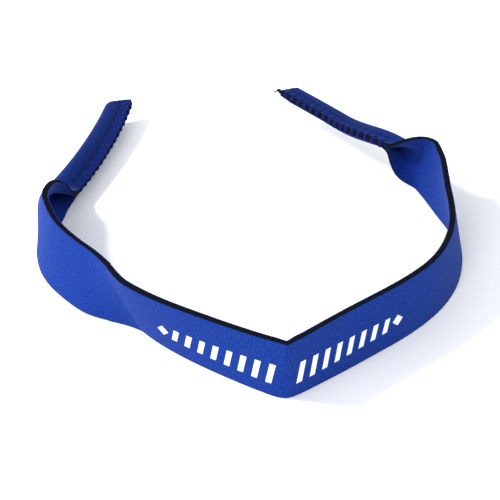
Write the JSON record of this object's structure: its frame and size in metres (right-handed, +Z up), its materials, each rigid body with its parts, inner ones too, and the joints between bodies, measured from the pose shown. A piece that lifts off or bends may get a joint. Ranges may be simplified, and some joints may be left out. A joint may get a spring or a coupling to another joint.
{
  "type": "eyewear retainer strap",
  "caption": "Foam laminate eyewear retainer strap standing in an open loop, with a sharp middle crease and a sewn sleeve at each end for a spectacle temple.",
  "frame": {"origin": "centre of the bounding box in plan, on the surface the strap stands on", "axes": "+Z up; -Y towards the crease at the back of the neck; +Y towards the open ends and the glasses; +X to the wearer's right as the strap lies with its printed face towards the viewer"},
  "size_m": [0.1628, 0.168, 0.0276],
  "materials": {
    "jersey": "matt fine knit",
    "foam": "matt cut foam",
    "thread": "textured sewing thread",
    "dark_thread": "sewing thread",
    "print": "matt screen print"
  },
  "bodies": {
    "left_front": {"left_front_outer_jersey": "jersey", "left_front_foam_core": "foam", "left_front_inner_jersey": "jersey", "left_printed_motif": "print"},
    "right_front": {"right_front_outer_jersey": "jersey", "right_front_foam_core": "foam", "right_front_inner_jersey": "jersey", "right_printed_motif": "print"},
    "left_temple": {"left_temple_outer_jersey": "jersey", "left_temple_foam_core": "foam", "left_temple_inner_jersey": "jersey", "left_needle_thread": "thread", "left_looper_thread": "thread"},
    "right_temple": {"right_temple_outer_jersey": "jersey", "right_temple_foam_core": "foam", "right_temple_inner_jersey": "jersey", "right_needle_thread": "thread", "right_looper_thread": "thread", "right_thread_tail": "dark_thread"}
  },
  "joints": [
    {"name": "middle_crease", "type": "hinge", "parent": "left_front", "child": "right_front", "pos_m": [0.01273, -0.08304, 0.013], "axis": [0, 0, 1], "range_deg": [-60, 8], "stiffness_Nm_per_rad": 0.004},
    {"name": "left_shoulder_flex", "type": "hinge", "parent": "left_front", "child": "left_temple", "pos_m": [-0.06885, -0.02559, 0.01318], "axis": [0.1921, 0.125, 0.9734], "range_deg": [-15, 30], "stiffness_Nm_per_rad": 0.004},
    {"name": "right_shoulder_flex", "type": "hinge", "parent": "right_front", "child": "right_temple", "pos_m": [0.07737, -0.01089, 0.01324], "axis": [-0.1883, -0.0032, 0.9821], "range_deg": [-30, 15], "stiffness_Nm_per_rad": 0.004}
  ]
}
